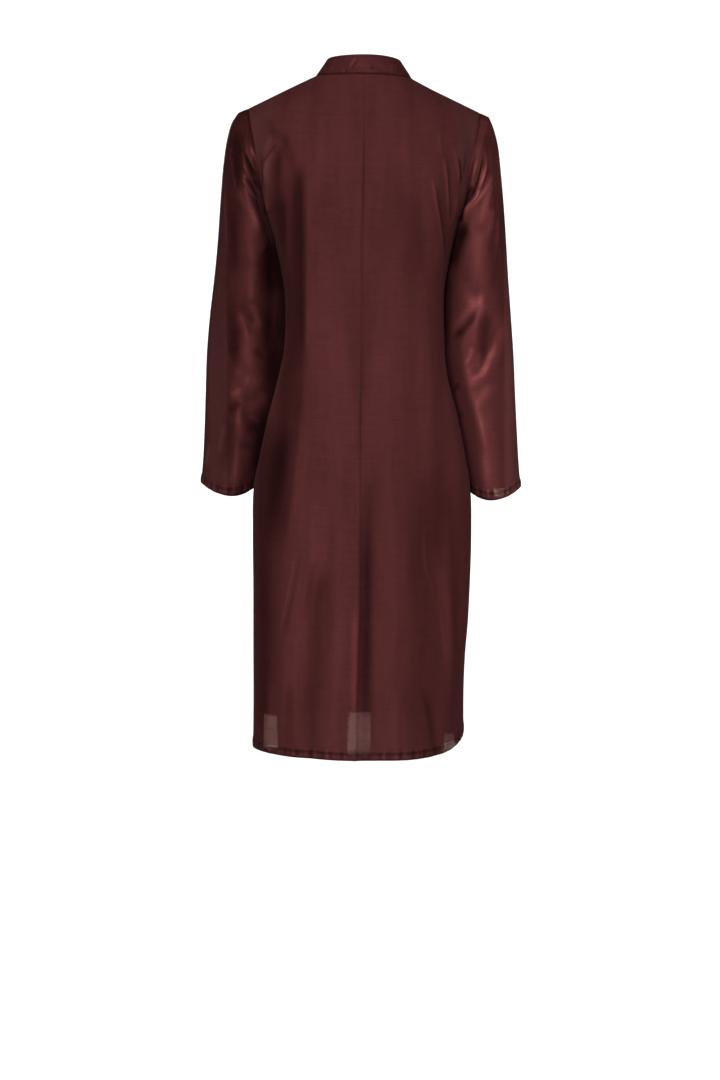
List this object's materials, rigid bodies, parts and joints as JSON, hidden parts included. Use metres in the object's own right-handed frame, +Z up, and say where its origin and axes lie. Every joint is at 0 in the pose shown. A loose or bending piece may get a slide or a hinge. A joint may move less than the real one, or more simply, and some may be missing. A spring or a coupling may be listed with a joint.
{
  "type": "shirt dress",
  "caption": "Long-sleeved knee-length shirt dress with a standing collar, a button front, a centre-back seam and a sleeveless lining, in its hollow worn form.",
  "frame": {"origin": "the place where the dress is held: on the centre line in the neck opening, at the height of the neck ends of the shoulder seams", "axes": "+Z up, the front faces -Y and the back +Y, +X towards the wearer's left sleeve"},
  "size_m": [0.5158, 0.2544, 1.1126],
  "materials": {
    "outer_cloth": "lustrous silk and cotton cloth, slightly sheer",
    "lining_cloth": "plain matt lining cloth",
    "button": "satin"
  },
  "bodies": {
    "root": {"back_left": "outer_cloth", "back_right": "outer_cloth", "front_left": "outer_cloth", "front_right": "outer_cloth", "placket": "outer_cloth", "collar": "outer_cloth", "sleeve_left": "outer_cloth", "sleeve_right": "outer_cloth", "lining_back_left": "lining_cloth", "lining_back_right": "lining_cloth", "lining_front_left": "lining_cloth", "lining_front_right": "lining_cloth", "button_1": "button", "button_2": "button", "button_3": "button", "button_4": "button", "button_5": "button", "button_6": "button", "button_7": "button", "button_8": "button", "button_9": "button"}
  },
  "joints": []
}
